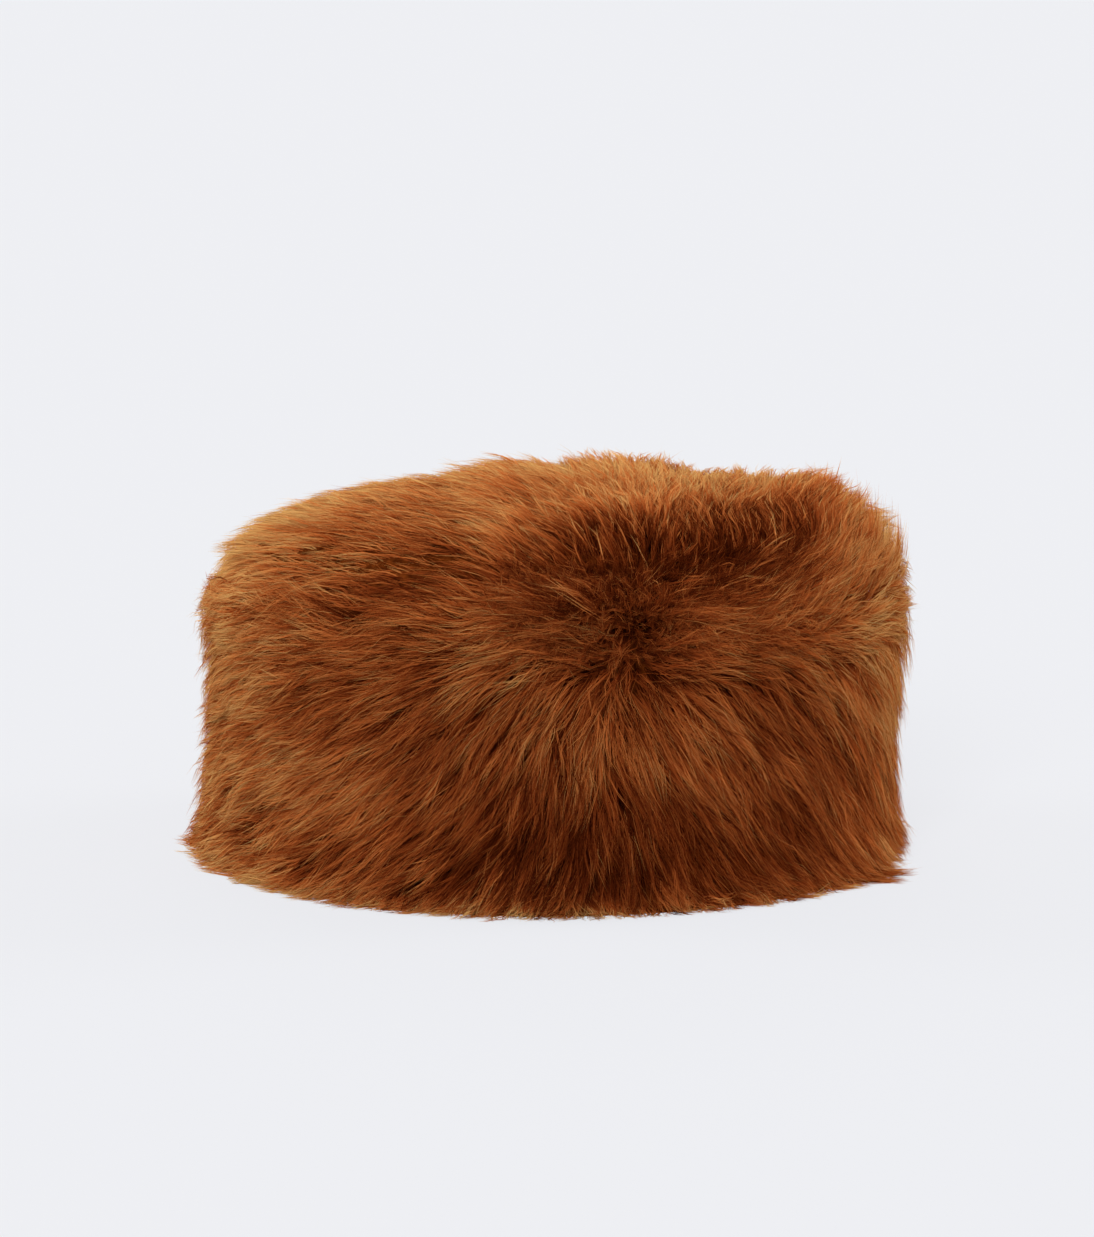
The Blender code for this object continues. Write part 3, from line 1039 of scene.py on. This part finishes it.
# The long hair of the crown: the same wool, rooted on the domed disc. It runs from the
# whorl at the front over the top and falls over the edge all round. On the wearer's left
# of the whorl it stands up in a soft roll.
CROWN_HAIR_LENGTH = 0.026
CROWN_HAIR_WIDTH = 0.00030
CROWN_LOCK_LENGTHS, CROWN_LOCK_DEPTHS = (0.8, 1.25), (-0.0034, 0.0030)
CROWN_TUFT_LENGTHS, CROWN_TUFT_DEPTHS = (0.7, 1.15), (-0.0026, 0.0042)
CROWN_TURN = 0.24
CROWN_PULL = 0.42
CROWN_TONE = 0.46
CROWN_LOCK_SPREAD = 0.06
CROWN_LOCK_EDGE_SHADE = -0.20
CROWN_TONE_SPREAD = 0.13
CROWN_TUFT_SPACING = 0.0033
CROWN_PER_TUFT = 12
CROWN_CURL = 0.7
# Where the whorl is, as a share of the crown's length from the middle, then the roll, and
# the hair that sweeps to the wearer's right.
WHORL_OUT = 1.25
ROLL_ANGLE = math.radians(309)
ROLL_WIDTH = math.radians(21)
ROLL_PULL = 3.0
ROLL_FROM, ROLL_GROWS = 0.55, 0.25
SWEEP = 0.8
SWEEP_WIDTH = 0.05

# How much flatter the crown's hair lies than the outer form, across the hat from the
# wearer's right to the left, in metres.
FLATTER = (
    # x, depth
    (-0.120, 0.0040),
    (-0.105, 0.0030),
    (-0.090, 0.0018),
    (-0.078, 0.0030),
    (-0.050, 0.0040),
    (-0.036, 0.0050),
    (-0.023, 0.0040),
    (-0.009, 0.0006),
    (0.005, 0.0026),
    (0.018, 0.0006),
    (0.032, 0.0002),
    (0.046, 0.0040),
    (0.060, 0.0048),
    (0.073, 0.0034),
    (0.087, -0.0004),
    (0.100, 0.0030),
    (0.118, 0.0050),
)
whorl = WHORL_OUT * CROWN_LENGTH * np.array((math.cos(WHORL_ANGLE), math.sin(WHORL_ANGLE)))


def scattered_crown(spacing):
    """Places on the crown laid out flat, evenly scattered: an array of x, y."""
    half_count = int(CROWN_LENGTH / spacing) + 1
    steps = np.arange(-half_count, half_count + 1) * spacing
    grid = np.stack(np.meshgrid(steps, steps), axis=-1).reshape(-1, 2)
    grid = grid + random.uniform(-SCATTER, SCATTER, grid.shape) * spacing
    out = np.hypot(grid[:, 0], grid[:, 1])
    return grid[out < CROWN_LENGTH - band_over(np.arctan2(grid[:, 1], grid[:, 0]))]


def crown_heading(flat):
    """The lie of the crown's hair as directions on the crown laid out flat."""
    way = flat - whorl
    way /= np.linalg.norm(way, axis=1, keepdims=True) + 1e-9
    out = np.hypot(flat[:, 0], flat[:, 1])
    angle = np.arctan2(flat[:, 1], flat[:, 0])
    aside = (angle - ROLL_ANGLE + math.pi) % (2 * math.pi) - math.pi
    near_edge = np.clip((out / CROWN_LENGTH - ROLL_FROM) / ROLL_GROWS, 0, 1)
    inward = -flat / (out[:, None] + 1e-9)
    pull = ROLL_PULL * np.exp(-((aside / ROLL_WIDTH) ** 2)) * near_edge
    way = way + inward * pull[:, None]
    way[:, 0] -= SWEEP * np.clip((whorl[0] - flat[:, 0]) / SWEEP_WIDTH, 0, 1)
    return way / np.linalg.norm(way, axis=1, keepdims=True)


def crown_guides(flat, length, tip_depth, turn):
    """Lines of GUIDE_STEPS + 1 points in space that hair follows from these places."""
    lines, normals = [], []
    tip_depth = tip_depth + np.interp(flat[:, 0], *zip(*FLATTER))
    cos_turn, sin_turn = np.cos(turn), np.sin(turn)
    for step in range(GUIDE_STEPS + 1):
        share = step / GUIDE_STEPS
        out = np.hypot(flat[:, 0], flat[:, 1])
        angle = np.arctan2(flat[:, 1], flat[:, 0])
        _, normal, under = laid(angle, out, share, tip_depth)
        lines.append(under)
        normals.append(normal)
        way = crown_heading(flat)
        turned_x = way[:, 0] * cos_turn - way[:, 1] * sin_turn
        turned_y = way[:, 0] * sin_turn + way[:, 1] * cos_turn
        turned = np.stack((turned_x, turned_y), axis=1)
        flat = flat + turned * stride(length, share)[:, None]
    return np.stack(lines, axis=1), np.stack(normals, axis=1)


lock_flat = scattered_crown(LOCK_SPACING)
lock_count = len(lock_flat)
lock_lines, lock_normals = crown_guides(
    lock_flat,
    CROWN_HAIR_LENGTH * random.uniform(*CROWN_LOCK_LENGTHS, lock_count),
    random.uniform(*CROWN_LOCK_DEPTHS, lock_count),
    random.normal(0, CROWN_TURN, lock_count),
)
lock_lines = proud(lock_lines, lock_normals)
tuft_flat = scattered_crown(CROWN_TUFT_SPACING)
tuft_count = len(tuft_flat)
tuft_lines, tuft_normals = crown_guides(
    tuft_flat,
    CROWN_HAIR_LENGTH * random.uniform(*CROWN_TUFT_LENGTHS, tuft_count),
    random.uniform(*CROWN_TUFT_DEPTHS, tuft_count),
    random.normal(0, CROWN_TURN, tuft_count),
)
pull = CROWN_PULL + by_place(TUFTED, tuft_lines[:, 0])
tuft_lines, tuft_lock, aside = gathered(tuft_lines, lock_lines, pull)
tuft_lines = sunk(sprung(tuft_lines), tuft_normals)
lock_tone = random.normal(0, CROWN_LOCK_SPREAD, lock_count)
roots = tuft_lines[:, 0]
# Painted shade at the edges of each lock, where locks part.
crown_tone = CROWN_TONE + CROWN_LOCK_EDGE_SHADE * aside**2 + lock_tone[tuft_lock]
crown_tone += random.normal(0, TUFT_TONE_SPREAD, tuft_count)
crown_tone += CLOUD_TONE * soft_noise(roots, CLOUD_SIZE, seed=2)

points, half, tone = hairs(
    tuft_lines,
    tuft_normals,
    crown_tone,
    CROWN_PER_TUFT,
    CROWN_HAIR_WIDTH,
    CROWN_TONE_SPREAD,
    CROWN_CURL,
)
for name, chosen in (("left", points[:, 0, 0] >= 0), ("right", points[:, 0, 0] < 0)):
    hair_mesh(f"crown_wool_{name}", points[chosen], half[chosen], tone[chosen])
